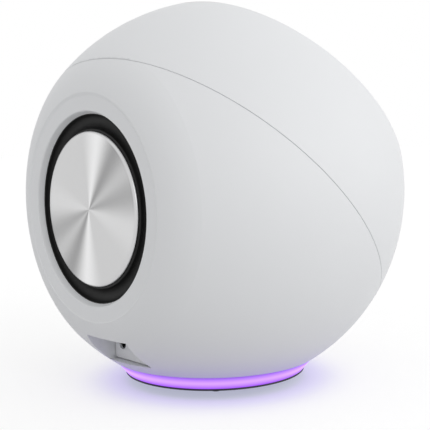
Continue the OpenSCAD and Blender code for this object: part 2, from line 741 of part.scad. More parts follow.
module wireless_module() color("silver") {
    block([14, 17, 0.8], [14.2, -15.4, board_top]);
    block([12, 11, 1.8], [14.2, -13.2, board_top + 0.8]);
}

module small_chips() color("black") {
    block([7, 7, 0.9], [-8, jack_front - 7, board_top]);
    block([5, 4, 1.1], [4, jack_front - 5, board_top]);
    block([4, 5, 1.1], [5.2, jack_front - 11, board_top]);
}

// Shrouded connectors for the leads, open at the top
module board_headers() color("ivory") for (h = header_at) {
    w = h[2] * 2 + 3.5;
    difference() {
        block([w, 4.6, 6], [h[0], h[1], board_top]);
        block([w - 1.4, 3.2, 6], [h[0], h[1], board_top + 1]);
    }
    for (i = [0 : h[2] - 1])
        block([0.6, 0.6, 4.6], [h[0] + (i - (h[2] - 1) / 2) * 2, h[1], board_top + 1 - eps]);
}

// ---- controls -----------------------------------------------------------

module control_board() color("green") on_control_axis() difference() {
    block([panel[0], panel[1], board_t], [0, 0, panel_t - board_t]);
    for (s = [-1, 1]) translate([s * post_at, 0, 0]) disc(1.1, panel_t - board_t - 1, panel_t + 1);
}

module control_screws() color("silver") on_control_axis() for (s = [-1, 1])
    translate([s * post_at, 0, panel_t - board_t]) rotate([180, 0, 0]) screw(1.9, 1.2, 0.8, 6);

module volume_control() color("silver") on_control_axis() difference() {
    union() {
        block(pot, [0, 0, panel_t]);
        disc(bush_r, pot_t - eps, bush_top);
    }
    disc(shaft_r + 0.06, panel_t + 1, bush_top + 1);
}

module control_nut() color("silver") on_control_axis() difference() {
    translate([0, 0, seat_t]) cylinder(r = 5.6, h = nut_t, $fn = 6);
    disc(bush_r, seat_t - 1, seat_t + nut_t + 1);
}

module control_shaft() color("gray") on_control_axis() difference() {
    disc(shaft_r, panel_t + 1.2, knob_top - 2);
    block([8, 4, far], [0, shaft_r + 0.7, bush_top + 0.6]);
}

module volume_knob() color("white") on_control_axis() difference() {
    rotate_extrude() difference() {
        union() {
            translate([0, knob_low]) square([knob_r, knob_top - knob_low - 1]);
            translate([0, knob_low]) square([knob_r - 1, knob_top - knob_low]);
            translate([knob_r - 1, knob_top - 1]) circle(r = 1, $fn = 48);
        }
        translate([0, knob_low - 1]) square([6.6, bush_top + 0.6 - knob_low + 1]);
        translate([0, knob_low]) square([shaft_r, knob_top - 2 - knob_low]);
        translate([0, knob_top + 38.6]) circle(r = 39, $fn = 512);
    }
    around(40, knob_r + 0.12, 0) disc(0.35, knob_low - 1, knob_top - 1.6, $fn = 24);
    translate([0, -knob_r + 2.4, knob_top]) cube([0.8, 2.4, 1.4], center = true);
}

module touch_switches() color("dimgray") on_control_axis() for (s = [-1, 1]) difference() {
    block(switch, [s * button_at, 0, panel_t]);
    translate([s * button_at, 0, 0]) disc(plunger_r + slide, panel_t + 1, far);
}

// Button cap, its face part of the cap's own round
module button(side) on_control_axis() translate([side * button_at, 0, 0]) {
    intersection() {
        disc(button_r, sleeve_t - 0.2, far);
        translate([-side * button_at, 0, 0]) sphere(r = cap_here + 0.7, $fn = 200);
    }
    disc(button_r + 1, sleeve_t - 0.1 - button_flange, sleeve_t - 0.1);
    disc(1.6, button_low, sleeve_t - button_flange);
}
module plunger(side) on_control_axis() translate([side * button_at, 0, 0])
    disc(plunger_r, panel_t + 1.8, button_low);

module light_button() color("gainsboro") button(-1);
module source_button() color("gainsboro") button(1);
module light_plunger() color("dimgray") plunger(-1);
module source_plunger() color("dimgray") plunger(1);

rear_shell();
front_shell();
seam_seal();
trim_ring();
light_ring();
base_plate();
feet();
base_screws();
led_board();
leds();
driver_frame();
driver_gasket();
driver_screws();
driver_magnet();
driver_top_plate();
driver_yoke();
driver_terminals();
driver_spider();
driver_surround();
driver_cone();
dust_cap();
coil_former();
voice_coil();
radiator_frame();
radiator_surround();
radiator_disc();
radiator_backer();
radiator_weight();
radiator_screws();
main_board();
board_screws();
usb_c_socket();
audio_socket();
amplifier_chip();
heat_sink();
capacitors();
inductors();
wireless_module();
small_chips();
board_headers();
control_board();
control_screws();
volume_control();
control_nut();
control_shaft();
volume_knob();
touch_switches();
light_button();
source_button();
light_plunger();
source_plunger();
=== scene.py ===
import math

import bmesh
import bpy
from mathutils import Matrix, Vector
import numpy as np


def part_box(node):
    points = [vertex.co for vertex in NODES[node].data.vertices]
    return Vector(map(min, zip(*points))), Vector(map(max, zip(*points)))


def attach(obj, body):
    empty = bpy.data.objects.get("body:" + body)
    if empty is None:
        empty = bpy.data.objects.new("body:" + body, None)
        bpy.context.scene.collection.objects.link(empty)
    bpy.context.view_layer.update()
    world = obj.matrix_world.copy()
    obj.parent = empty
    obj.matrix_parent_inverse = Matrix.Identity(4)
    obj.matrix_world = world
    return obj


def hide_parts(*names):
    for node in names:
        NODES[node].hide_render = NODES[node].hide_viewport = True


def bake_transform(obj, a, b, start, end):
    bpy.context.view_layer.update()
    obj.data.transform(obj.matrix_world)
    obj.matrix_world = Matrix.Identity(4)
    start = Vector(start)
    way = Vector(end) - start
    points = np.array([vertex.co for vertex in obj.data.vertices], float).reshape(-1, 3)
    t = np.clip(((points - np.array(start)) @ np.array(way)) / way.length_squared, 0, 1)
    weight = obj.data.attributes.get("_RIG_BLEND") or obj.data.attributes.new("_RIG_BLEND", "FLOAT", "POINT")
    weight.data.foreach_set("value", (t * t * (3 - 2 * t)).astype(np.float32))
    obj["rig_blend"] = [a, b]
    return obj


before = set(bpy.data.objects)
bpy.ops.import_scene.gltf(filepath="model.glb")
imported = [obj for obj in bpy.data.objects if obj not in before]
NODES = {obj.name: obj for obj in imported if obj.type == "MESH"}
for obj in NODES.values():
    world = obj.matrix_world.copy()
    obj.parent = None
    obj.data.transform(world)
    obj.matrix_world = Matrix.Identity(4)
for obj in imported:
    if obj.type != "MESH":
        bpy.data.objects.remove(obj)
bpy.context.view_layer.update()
MM = 0.001
MERGE = MM / 1000       # corners nearer than this are one


# ------------------------------------------------------------ places and sizes, from the frame

BALL_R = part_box("front_shell")[1].x
DRIVE_TILT = math.radians(45)
BASKET = (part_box("driver_frame")[0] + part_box("driver_frame")[1]) / 2
BALL = Vector((0, 0, BASKET.z + BASKET.y / math.tan(DRIVE_TILT)))    # middle of the ball
DISC_LOW, DISC_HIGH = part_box("radiator_disc")
DISC_R = DISC_HIGH.x
RADIATOR_Z = (DISC_LOW.z + DISC_HIGH.z) / 2
RING_LOW, RING_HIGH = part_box("light_ring")


# ------------------------------------------------------------ camera

CAMERA_AZIMUTH = math.radians(229.41)
CAMERA_LIFT = math.radians(4.88)
CAMERA_ROLL = math.radians(-1.26)
CAMERA_AWAY = 320 * MM
CAMERA_LENS = 77.16
AIM_RIGHT = 1.17 * MM
AIM_HEIGHT = 56.55 * MM


def camera_axes():
    """The way to the camera's right, up and back, before its small roll."""
    back = Vector((
        math.sin(CAMERA_AZIMUTH) * math.cos(CAMERA_LIFT),
        -math.cos(CAMERA_AZIMUTH) * math.cos(CAMERA_LIFT),
        math.sin(CAMERA_LIFT),
    ))
    right = Vector((0, 0, 1)).cross(back).normalized()
    return right, back.cross(right), back


RIGHT, UP, BACK = camera_axes()


def make_camera():
    roll = Matrix.Rotation(CAMERA_ROLL, 4, BACK)
    turn = roll @ Matrix((RIGHT, UP, BACK)).transposed().to_4x4()
    aim = RIGHT * AIM_RIGHT + Vector((0, 0, AIM_HEIGHT))
    data = bpy.data.cameras.new("camera")
    data.sensor_width = 36
    data.lens = CAMERA_LENS
    data.clip_start = 10 * MM
    data.clip_end = 20
    camera = bpy.data.objects.new("camera", data)
    camera.matrix_world = Matrix.Translation(aim + BACK * CAMERA_AWAY) @ turn
    bpy.context.scene.collection.objects.link(camera)
    bpy.context.scene.camera = camera


make_camera()


# ------------------------------------------------------------ shader maths and finishes

class Wire:
    """A socket of a finish. Sums and products written with it add Math nodes."""

    def __init__(self, finish, socket):
        self.finish = finish
        self.socket = socket

    def math(self, operation, *values):
        return self.finish.node("ShaderNodeMath", {"operation": operation}, (self, *values))

    def __add__(self, other):
        return self.math("ADD", other)

    def __sub__(self, other):
        return self.math("SUBTRACT", other)

    def __rsub__(self, other):
        return self.finish.node("ShaderNodeMath", {"operation": "SUBTRACT"}, (other, self))

    def __mul__(self, other):
        return self.math("MULTIPLY", other)

    def __truediv__(self, other):
        return self.math("DIVIDE", other)

    def __pow__(self, other):
        return self.math("POWER", other)

    __radd__ = __add__
    __rmul__ = __mul__

    def clamped(self):
        return self.finish.node("ShaderNodeClamp", {}, (self, 0, 1))

    def step(self, low, high):
        """0 below low, 1 above high and smooth between."""
        settings = {"interpolation_type": "SMOOTHSTEP"}
        return self.finish.node("ShaderNodeMapRange", settings, (self, low, high, 0, 1))


class Finish:
    """A material being built, with the few kinds of node that the finishes share."""

    def __init__(self, name, **sockets):
        self.material = bpy.data.materials.new(name)
        self.material.use_nodes = True
        self.tree = self.material.node_tree
        self.shader = self.tree.nodes["Principled BSDF"]
        self.set(**sockets)

    def put(self, socket, value):
        if isinstance(value, Wire):
            self.tree.links.new(value.socket, socket)
        elif socket.type == "RGBA" and len(value) == 3:
            socket.default_value = (*value, 1)
        else:
            socket.default_value = value

    def set(self, **sockets):
        """Sets the shader's own sockets: base_color=, roughness=, normal= and so on."""
        for name, value in sockets.items():
            self.put(self.shader.inputs[name.replace("_", " ").title().replace("Ior", "IOR")], value)

    def node(self, kind, settings, sockets, output=0):
        """Adds a node, sets its settings and then its sockets, by place or by name."""
        node = self.tree.nodes.new(kind)
        for name, value in settings.items():
            setattr(node, name, value)
        pairs = sockets.items() if isinstance(sockets, dict) else enumerate(sockets)
        for key, value in pairs:
            self.put(node.inputs[key], value)
        return Wire(self, node.outputs[output])

    def place(self):
        return self.node("ShaderNodeTexCoord", {}, (), "Object")

    def part_of(self, vector, axis):
        return self.node("ShaderNodeSeparateXYZ", {}, (vector,), axis)

    def noise(self, scale, detail=2, roughness=0.5):
        sockets = {"Vector": self.place(), "Scale": scale, "Detail": detail, "Roughness": roughness}
        return self.node("ShaderNodeTexNoise", {}, sockets, "Fac")

    def mix(self, share, first, second):
        """The colour that is share of the way from first to second."""
        node = self.tree.nodes.new("ShaderNodeMix")
        node.data_type = "RGBA"
        for index, value in ((0, share), (6, first), (7, second)):
            self.put(node.inputs[index], value)
        return Wire(self, node.outputs[2])

    def ramp(self, place, stops):
        """A colour that runs smoothly through stops of place and colour."""
        node = self.tree.nodes.new("ShaderNodeValToRGB")
        node.color_ramp.interpolation = "CARDINAL"
        elements = node.color_ramp.elements
        while len(elements) < len(stops):
            elements.new(0.5)
        for element, (position, color) in zip(elements, stops):
            element.position = position
            element.color = (*color, 1)
        self.put(node.inputs[0], place)
        return Wire(self, node.outputs[0])

    def bump(self, height, depth):
        return self.node("ShaderNodeBump", {}, {"Height": height, "Distance": depth, "Strength": 1})


GRAIN = 0.02 * MM       # depth of a moulded skin's grain
SCUFF = 0.01 * MM       # depth of the scuffs on metal


def grained_plastic(name, color, roughness, grain=GRAIN, spread=0.03, **sockets):
    """Moulded plastic with a fine spark-eroded grain and slightly uneven gloss."""
    finish = Finish(name, **sockets)
    cloud = finish.noise(60, 3)
    tint = [c * (1 - spread) for c in color]
    finish.set(
        base_color=finish.mix(cloud, tint, color),
        roughness=roughness + (finish.noise(900, 2) - 0.5) * 0.1,
        normal=finish.bump(finish.noise(5200, 3, 0.6), grain),
    )
    return finish


def rubber(name, color, roughness, **sockets):
    """Moulded rubber, a little paler where dust clings."""
    finish = Finish(name, **sockets)
    dust = finish.noise(140, 4)
    finish.set(
        base_color=finish.mix(dust, color, [c * 1.4 + 0.001 for c in color]),
        roughness=roughness + (finish.noise(400, 3) - 0.5) * 0.12,
        normal=finish.bump(finish.noise(4200, 2), GRAIN),
    )
    return finish


def metal(name, color, roughness, **sockets):
    """Plain plated or drawn metal with a few soft scuffs."""
    finish = Finish(name, metallic=1.0, **sockets)
    scuff = finish.noise(300, 5, 0.7)
    finish.set(
        base_color=finish.mix(scuff, [c * 0.86 for c in color], color),
        roughness=roughness + (scuff - 0.5) * 0.16,
        normal=finish.bump(scuff, SCUFF),
    )
    return finish


def radial(finish, middle, along):
    """The way out from an axis along Y, and the distance from it, at each point."""
    offset = finish.node("ShaderNodeVectorMath", {"operation": "SUBTRACT"}, (finish.place(), middle))
    flat = finish.node("ShaderNodeVectorMath", {"operation": "MULTIPLY"}, (offset, along))
    away = finish.node("ShaderNodeVectorMath", {"operation": "LENGTH"}, (flat,), "Value")
    out = finish.node("ShaderNodeVectorMath", {"operation": "NORMALIZE"}, (flat,))
    return out, away


RING_PITCH = 0.12 * MM
RING_RATIO = 2.618      # how many fine rings fall on each coarse one
RING_LEAN = (0.16, 0.12)    # how far the coarse and the fine rings tip the surface
FADE = 9 * MM           # the rings fade towards the disc's middle from here

# Fans of painted highlight and painted shade that stand for the turned metal's reflections: degrees from the
# disc's top, half their width, and how much lighter they are
PAINTED_FANS = ((15, 24, 0.23), (39, 26, -0.28), (76, 24, -0.21), (105, 25, 0.07))
FAN_TURN = 172          # degrees from each fan round to its like
FACE_SHADE = 0.61       # the turned face between its fans
FACE_TINT = (1, 1, 1.006)
EDGE_SHADE = (0.62, 0.62, 0.625)
TARNISH = (0.30, 0.30, 0.305)


def spun_aluminium():
    """Turned metal: fine rings tip the surface in and out, and soft fans of painted highlight and painted
    shade cross its middle.
    """
    finish = Finish("spun aluminium", metallic=1.0)
    out, away = radial(finish, (0, 0, RADIATOR_Z), (1, 0, 1))
    coarse = (away * (math.tau / RING_PITCH)).math("SINE")
    fine = (away * (math.tau / RING_PITCH * RING_RATIO)).math("SINE")
    tip = (coarse * RING_LEAN[0] + fine * RING_LEAN[1]) * away.step(0, FADE)
    lean = finish.node("ShaderNodeVectorMath", {"operation": "SCALE"}, {0: out, "Scale": tip})
    lean = finish.node("ShaderNodeVectorTransform", {"vector_type": "VECTOR", "convert_from": "OBJECT",
                                                     "convert_to": "WORLD"}, (lean,))
    face = finish.node("ShaderNodeNewGeometry", {}, (), "Normal")
    tipped = finish.node("ShaderNodeVectorMath", {"operation": "ADD"}, (face, lean))
    tipped = finish.node("ShaderNodeVectorMath", {"operation": "NORMALIZE"}, (tipped,))
    across = finish.part_of(out, "X") * -1
    turn = (across.math("ARCTAN2", finish.part_of(out, "Z")) / math.tau).math("FRACT")
    # The fans paint highlights and shade into the base colour by angle round the disc
    painted_shine = FACE_SHADE
    for middle, half_width, lighter in PAINTED_FANS:
        for start in (middle, middle + FAN_TURN):
            off = ((turn - start / 360 + 0.5).math("FRACT") - 0.5).math("ABSOLUTE")
            painted_shine = (1 - off.step(0, half_width / 360)) * lighter + painted_shine
    painted_shine = finish.mix(painted_shine, (0, 0, 0), FACE_TINT)
    edge = away.step(DISC_R - 1.0 * MM, DISC_R - 0.5 * MM)
    painted_shine = finish.mix(edge, painted_shine, EDGE_SHADE)
    finish.set(
        base_color=finish.mix(finish.noise(3000) * 0.12, painted_shine, TARNISH),
        roughness=0.16,
        normal=tipped,
    )
    return finish


# Height up the lit ring, and the colour of its light there; the dim top stops are painted shade under the
# cabinet's edge
GLOW_WITH_PAINTED_SHADE = ((0, (0.36, 0.08, 0.92)), (0.18, (0.50, 0.18, 1.0)), (0.42, (0.68, 0.34, 1.0)),
        (0.62, (0.60, 0.27, 1.0)), (0.85, (0.36, 0.13, 0.84)), (1, (0.26, 0.11, 0.62)))


def lit_diffuser():
    """Milky ring lit from inside: palest along its middle, deep violet at its edges, and dimmed at its top by
    painted shade under the cabinet's edge.
    """
    finish = Finish("lit diffuser", roughness=0.35, emission_strength=1.0)
    height = (finish.part_of(finish.place(), "Z") - RING_LOW.z) / (RING_HIGH.z - RING_LOW.z)
    # The top of the ring is dimmed here as painted shade under the cabinet's edge
    glow_with_painted_shade = finish.ramp(height, GLOW_WITH_PAINTED_SHADE)
    finish.set(base_color=(0.02, 0.01, 0.03), emission_color=glow_with_painted_shade)
    return finish


WHITE = (0.79, 0.80, 0.815)
FINISHES = {
    "shell white": grained_plastic("shell white", WHITE, 0.5, spread=0.012),
    "knob white": grained_plastic("knob white", (0.78, 0.78, 0.79), 0.46),
    "button grey": grained_plastic("button grey", (0.50, 0.50, 0.52), 0.5),
    "moulded black": grained_plastic("moulded black", (0.018, 0.018, 0.019), 0.5),
    "base dark": grained_plastic("base dark", (0.012, 0.012, 0.014), 0.6),
    "pressed cone": grained_plastic("pressed cone", (0.02, 0.02, 0.022), 0.6, grain=0.05 * MM, spread=0.3),
    "soft rubber": rubber("soft rubber", (0.004, 0.004, 0.004), 0.55, specular_ior_level=0.3),
    "foot rubber": rubber("foot rubber", (0.02, 0.02, 0.02), 0.7),
    "seal rubber": rubber("seal rubber", (0.34, 0.34, 0.345), 0.7),
    "spun aluminium": spun_aluminium(),
    "lit diffuser": lit_diffuser(),
    "plated steel": metal("plated steel", (0.62, 0.62, 0.60), 0.3),
    "black steel": metal("black steel", (0.06, 0.06, 0.06), 0.4),
    "foil": metal("foil", (0.75, 0.58, 0.36), 0.3),
    "gilt": metal("gilt", (0.9, 0.62, 0.22), 0.25),
    "copper wire": metal("copper wire", (0.78, 0.40, 0.22), 0.35),
    "drawn can": metal("drawn can", (0.72, 0.72, 0.74), 0.25),
    "anodised sink": metal("anodised sink", (0.05, 0.05, 0.05), 0.4),
    "ferrite": grained_plastic("ferrite", (0.05, 0.05, 0.055), 0.55, grain=0.06 * MM, spread=0.3),
    "impregnated cloth": grained_plastic("impregnated cloth", (0.42, 0.26, 0.07), 0.8, grain=0.1 * MM,
                                         spread=0.3),
    "green board": grained_plastic("green board", (0.01, 0.09, 0.03), 0.35),
    "white board": grained_plastic("white board", (0.7, 0.7, 0.7), 0.4),
    "tan board": grained_plastic("tan board", (0.35, 0.2, 0.08), 0.7, spread=0.2),
    "chip black": grained_plastic("chip black", (0.015, 0.015, 0.016), 0.5),
    "ivory nylon": grained_plastic("ivory nylon", (0.62, 0.58, 0.44), 0.45),
    "lamp package": Finish("lamp package", base_color=(0.8, 0.75, 0.9), roughness=0.3,
                           emission_color=(0.6, 0.35, 1.0), emission_strength=1.5),
}

NODE_FINISHES = {
    "shell white": ("rear_shell", "front_shell"),
    "knob white": ("volume_knob",),
    "button grey": ("light_button", "source_button"),
    "moulded black": ("trim_ring", "driver_frame", "radiator_frame", "light_plunger", "source_plunger",
                      "touch_switches", "volume_control"),
    "base dark": ("base_plate",),
    "pressed cone": ("driver_cone", "dust_cap"),
    "soft rubber": ("radiator_surround", "driver_surround", "driver_gasket"),
    "foot rubber": ("feet",),
    "seal rubber": ("seam_seal",),
    "spun aluminium": ("radiator_disc",),
    "lit diffuser": ("light_ring",),
    "plated steel": ("driver_top_plate", "driver_yoke", "radiator_backer", "radiator_weight",
                     "radiator_screws", "driver_screws", "board_screws", "control_screws", "control_nut",
                     "usb_c_socket", "control_shaft", "wireless_module"),
    "black steel": ("base_screws",),
    "foil": ("coil_former",),
    "copper wire": ("voice_coil",),
    "drawn can": ("capacitors",),
    "anodised sink": ("heat_sink",),
    "ferrite": ("driver_magnet", "inductors"),
    "impregnated cloth": ("driver_spider",),
    "green board": ("main_board", "control_board"),
    "white board": ("led_board",),
    "tan board": ("driver_terminals",),
    "chip black": ("amplifier_chip", "small_chips", "audio_socket"),
    "ivory nylon": ("board_headers",),
    "lamp package": ("leds",),
}


def finish_nodes():
    for finish, names in NODE_FINISHES.items():
        for name in names:
            slots = NODES[name].data.materials
            slots.clear()
            slots.append(FINISHES[finish].material)


finish_nodes()


# ------------------------------------------------------------ soft rings between fixed and moving parts

ROUND_STEPS = 144       # facets round each turned piece
ARC_STEPS = 14          # facets along each half roll


class Axis:
    """A turning axis: where it starts, which way it points out, and its first radius, along +X."""

    def __init__(self, start, out):
        self.start = start
        self.out = out

    def at(self, away, along):
        return self.start + Vector((away, 0, 0)) + self.out * along

    def away(self, point):
        offset = point - self.start
        return (offset - self.out * offset.dot(self.out)).length


RADIATOR = Axis(Vector((0, 0, RADIATOR_Z)), Vector((0, 1, 0)))
DRIVER = Axis(BALL, Vector((0, -math.sin(DRIVE_TILT), math.cos(DRIVE_TILT))))


def half_roll(middle, radius, level, rise):
    """Points of a half roll, from its inner to its outer side. It sinks where rise is -1."""
    turns = [math.pi * (1 - i / ARC_STEPS) for i in range(ARC_STEPS + 1)]
    return [(middle + radius * math.cos(t), level + rise * radius * math.sin(t)) for t in turns]


def turned_sheet(name, axis, face, thickness, material):
    """A sheet of even thickness, turned from the line of its outer face, given from the inside out."""
    shape = bmesh.new()
    points = [shape.verts.new(axis.at(away, along)) for away, along in face]
    edges = [shape.edges.new(pair) for pair in zip(points, points[1:])]
    bmesh.ops.spin(shape, geom=points + edges, cent=axis.start, axis=axis.out, angle=math.tau,
                   steps=ROUND_STEPS, use_merge=True, use_duplicate=False)
    bmesh.ops.remove_doubles(shape, verts=shape.verts, dist=MERGE)
    bmesh.ops.recalc_face_normals(shape, faces=shape.faces)
    if sum(side.normal.dot(axis.out) for side in shape.faces) < 0:
        bmesh.ops.reverse_faces(shape, faces=shape.faces)
    bmesh.ops.solidify(shape, geom=shape.faces[:], thickness=thickness)
    return finished(name, shape, material)


SHARP = math.radians(50)    # edges that turn more than this stay sharp


def finished(name, shape, material):
    """Makes the object of a finished shape, with its finish."""
    for face in shape.faces:
        face.smooth = True
    mesh = bpy.data.meshes.new(name)
    shape.to_mesh(mesh)
    shape.free()
    mesh.set_sharp_from_angle(angle=SHARP)
    mesh.materials.append(FINISHES[material].material)
    piece = bpy.data.objects.new(name, mesh)
    bpy.context.scene.collection.objects.link(piece)
    return piece


def stretch_round(piece, axis, moving, free_in, free_out):
    """Lets a ring follow the moving body at its inner edge and the cabinet at its outer edge."""
    outer, inner = (axis.at(away, 0) for away in (free_out, free_in))
    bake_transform(piece, "cabinet", moving, outer, inner)
    shares = piece.data.attributes["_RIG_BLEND"].data
    for vertex, share in zip(piece.data.vertices, shares):
        t = min(max((free_out - axis.away(vertex.co)) / (free_out - free_in), 0), 1)
        share.value = t * t * (3 - 2 * t)


RUBBER = 0.7 * MM       # thickness of the radiator's roll
LIP_TURN = 0.35 * MM    # radius of the turn from a flat lip into the roll


def radiator_roll():
    """Sunken half roll between the disc and the cabinet's mouth."""
    low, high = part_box("radiator_surround")
    level = high.y
    trough = high.y - low.y - RUBBER - LIP_TURN
    middle = DISC_R + RUBBER - LIP_TURN / 2 + trough
    inner = turn_down(middle - trough, level, 1)
    outer = turn_down(middle + trough, level, -1)
    face = [(DISC_R - 1.6 * MM, level), *inner, *half_roll(middle, trough, level - LIP_TURN, -1)[1:-1],
            *reversed(outer), (high.x, level)]
    piece = turned_sheet("radiator_roll", RADIATOR, face, RUBBER, "soft rubber")
    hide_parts("radiator_surround")
    stretch_round(piece, RADIATOR, "radiator_unit", DISC_R, middle + trough)


def turn_down(edge, level, side):
    """Quarter turn from a flat lip down into a roll whose upright edge is given."""
    turns = [math.pi / 2 * i / 4 for i in range(5)]
    return [(edge - side * LIP_TURN * (1 - math.sin(t)), level - LIP_TURN * (1 - math.cos(t))) for t in turns]


CONE_FACE = 42.4 * MM   # height of the cone's edge along the driver's axis
CONE_R = 24.6 * MM
RIM_RUBBER = 0.6 * MM
ROLL_R = 2.9 * MM


def driver_roll():
    """Raised half roll between the cone and the driver's frame."""
    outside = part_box("driver_surround")[1].x
    middle = (CONE_R + outside) / 2 - 1.2 * MM
    level = CONE_FACE + RIM_RUBBER
    roll = half_roll(middle, ROLL_R, CONE_FACE + RIM_RUBBER / 2, 1)[1:-1]
    face = [(CONE_R - 1.4 * MM, level), (middle - ROLL_R - 0.3 * MM, level), *roll,
            (middle + ROLL_R + 0.3 * MM, level), (outside, level)]
    piece = turned_sheet("driver_roll", DRIVER, face, RIM_RUBBER, "soft rubber")
    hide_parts("driver_surround")
    stretch_round(piece, DRIVER, "cone_unit", middle - ROLL_R, middle + ROLL_R)


SPIDER_LEVEL = 30.2 * MM
COLLAR_R = 9.8 * MM
CLOTH = 0.4 * MM
WAVE = 1.3 * MM         # half the width of one corrugation
WAVES = 4
WAVE_STEPS = 12         # points along half a wave


def spider():
    """Corrugated cloth disc that centres the coil."""
    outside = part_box("driver_spider")[1].x
    start = COLLAR_R + 0.3 * MM
    steps = WAVES * WAVE_STEPS
    level = SPIDER_LEVEL + CLOTH / 2
    wave = [(start + 2 * WAVE * WAVES * i / steps, level + WAVE * math.sin(math.pi * i / WAVE_STEPS))
            for i in range(steps + 1)]
    face = [(COLLAR_R, level), *wave, (outside, level)]
    piece = turned_sheet("spider_cloth_disc", DRIVER, face, CLOTH, "impregnated cloth")
    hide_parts("driver_spider")
    stretch_round(piece, DRIVER, "cone_unit", COLLAR_R, start + 2 * WAVE * WAVES)


CONTACTS = 12
CONTACT_PITCH = 0.5 * MM
CONTACT_INSET = 1.2 * MM    # from the socket's mouth to the contacts' ends
CONTACT = Vector((0.26, 3.4, 0.03)) * MM
TONGUE_HALF = 0.35 * MM


def socket_contacts():
    """Gilt contacts on both faces of the socket's tongue."""
    low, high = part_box("usb_c_socket")
    middle = (low + high) / 2
    along = high.y - CONTACT_INSET - CONTACT.y / 2
    shape = bmesh.new()
    for i in range(CONTACTS):
        for face in (-1, 1):
            place = Vector((middle.x + (i - (CONTACTS - 1) / 2) * CONTACT_PITCH, along,
                            middle.z + face * TONGUE_HALF))
            pad = bmesh.ops.create_cube(shape, size=1, matrix=Matrix.Translation(place)
                                        @ Matrix.Diagonal((*CONTACT, 1)))["verts"]
            upright = [edge for edge in shape.edges
                       if edge.verts[0] in pad and edge.verts[0].co.z != edge.verts[1].co.z]
            bmesh.ops.bevel(shape, geom=upright, offset=CONTACT.x / 4, affect="EDGES", segments=2,
                            profile=0.5, material=-1)
    piece = finished("socket_contacts", shape, "gilt")
    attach(piece, "cabinet")


radiator_roll()
driver_roll()
spider()
socket_contacts()


# ------------------------------------------------------------ the lit ring, the base and the connector plate

UPRIGHT = Axis(Vector((0, 0, 0)), Vector((0, 0, 1)))
RING_TOP = RING_HIGH.x - 0.5 * MM       # radius of the lit face where it meets the cabinet
RING_FOOT = RING_TOP - 3.9 * MM         # radius of the lit face where it meets the base
RING_WALL = 1.6 * MM
RING_BORE = 29.8 * MM                   # clear of the base plate's inner wall
RING_FLANGE = 1.2 * MM
RIM = 0.6 * MM                          # height of the base's dark rim


def turn_solid(shape, axis, outline):
    """Turns a closed outline once round an axis, as part of a shape."""
    points = [shape.verts.new(axis.at(away, along)) for away, along in outline]
    edges = [shape.edges.new(pair) for pair in zip(points, points[1:] + points[:1])]
    bmesh.ops.spin(shape, geom=points + edges, cent=axis.start, axis=axis.out, angle=math.tau,
                   steps=ROUND_STEPS, use_merge=True, use_duplicate=False)


def close(shape):
    """Merges doubled points, such as those on an axis, and turns every face outwards."""
    bmesh.ops.remove_doubles(shape, verts=shape.verts, dist=MERGE)
    bmesh.ops.recalc_face_normals(shape, faces=shape.faces)


def lit_ring():
    """Milky ring with a straight sloping face, and a flange under the cabinet's edge."""
    low, high = RING_LOW.z, RING_HIGH.z
    slope = (RING_TOP - RING_FOOT) / (high - low)
    under = high - RING_FLANGE
    inner = RING_FOOT + slope * (under - low) - RING_WALL
    wall_foot = low + (RING_BORE + RING_WALL - RING_FOOT) / slope
    shape = bmesh.new()
    turn_solid(shape, UPRIGHT, [(RING_FOOT, low), (RING_TOP, high), (RING_BORE, high), (RING_BORE, under),
                                (inner, under), (RING_BORE, wall_foot), (RING_BORE, low)])
    close(shape)
    piece = finished("lit_ring", shape, "lit diffuser")
    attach(piece, "cabinet")
    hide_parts("light_ring")


FOOT_AT = 19.8 * MM
FOOT_ANGLES = [math.radians(angle) for angle in (40, 140, 220, 320)]
SEAT_AT = 23 * MM                       # where the plate has a shallow seat that the feet don't use
SEAT_R = 4.7 * MM
PAD = ((1.4, 0), (1.7, 0.12), (2.6, 0.8), (3.5, 1.8))    # a foot's side in mm: away from its middle, and up
PAD_TOP_R = 4.2 * MM


def base_dish():
    """The base plate with a level underside and an upright rim below the lit ring."""
    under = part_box("base_plate")[0].z
    rim_low = RING_LOW.z - RIM
    shape = bmesh.new()
    shape.from_mesh(NODES["base_plate"].data)
    bmesh.ops.remove_doubles(shape, verts=shape.verts, dist=MERGE)
    seats = [Vector((math.cos(angle), math.sin(angle))) * SEAT_AT for angle in FOOT_ANGLES]
    for vertex in shape.verts:
        in_seat = min((vertex.co.xy - seat).length for seat in seats) < SEAT_R
        if in_seat and vertex.co.z < rim_low + 0.2 * MM:
            vertex.co.z = under
    bmesh.ops.remove_doubles(shape, verts=shape.verts, dist=MERGE)
    whole = shape.verts[:] + shape.edges[:] + shape.faces[:]
    bmesh.ops.bisect_plane(shape, geom=whole, dist=MERGE, plane_co=(0, 0, rim_low), plane_no=(0, 0, 1))
    for vertex in shape.verts:
        away = vertex.co.xy.length
        if away > RING_BORE and vertex.co.z > rim_low - MM / 100:
            vertex.co.xy *= RING_FOOT / away
    close(shape)
    piece = finished("base_dish", shape, "base dark")
    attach(piece, "cabinet")
    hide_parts("base_plate")


def foot_pads():
    """Low rubber feet with a small flat sole."""
    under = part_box("base_plate")[0].z
    side = [(away * MM, up * MM) for away, up in PAD]
    outline = [(0, 0), *side, (PAD_TOP_R, under), (0, under)]
    shape = bmesh.new()
    for angle in FOOT_ANGLES:
        middle = Vector((math.cos(angle), math.sin(angle), 0)) * FOOT_AT
        turn_solid(shape, Axis(middle, UPRIGHT.out), outline)
    close(shape)
    piece = finished("foot_pads", shape, "foot rubber")
    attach(piece, "cabinet")
    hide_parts("feet")


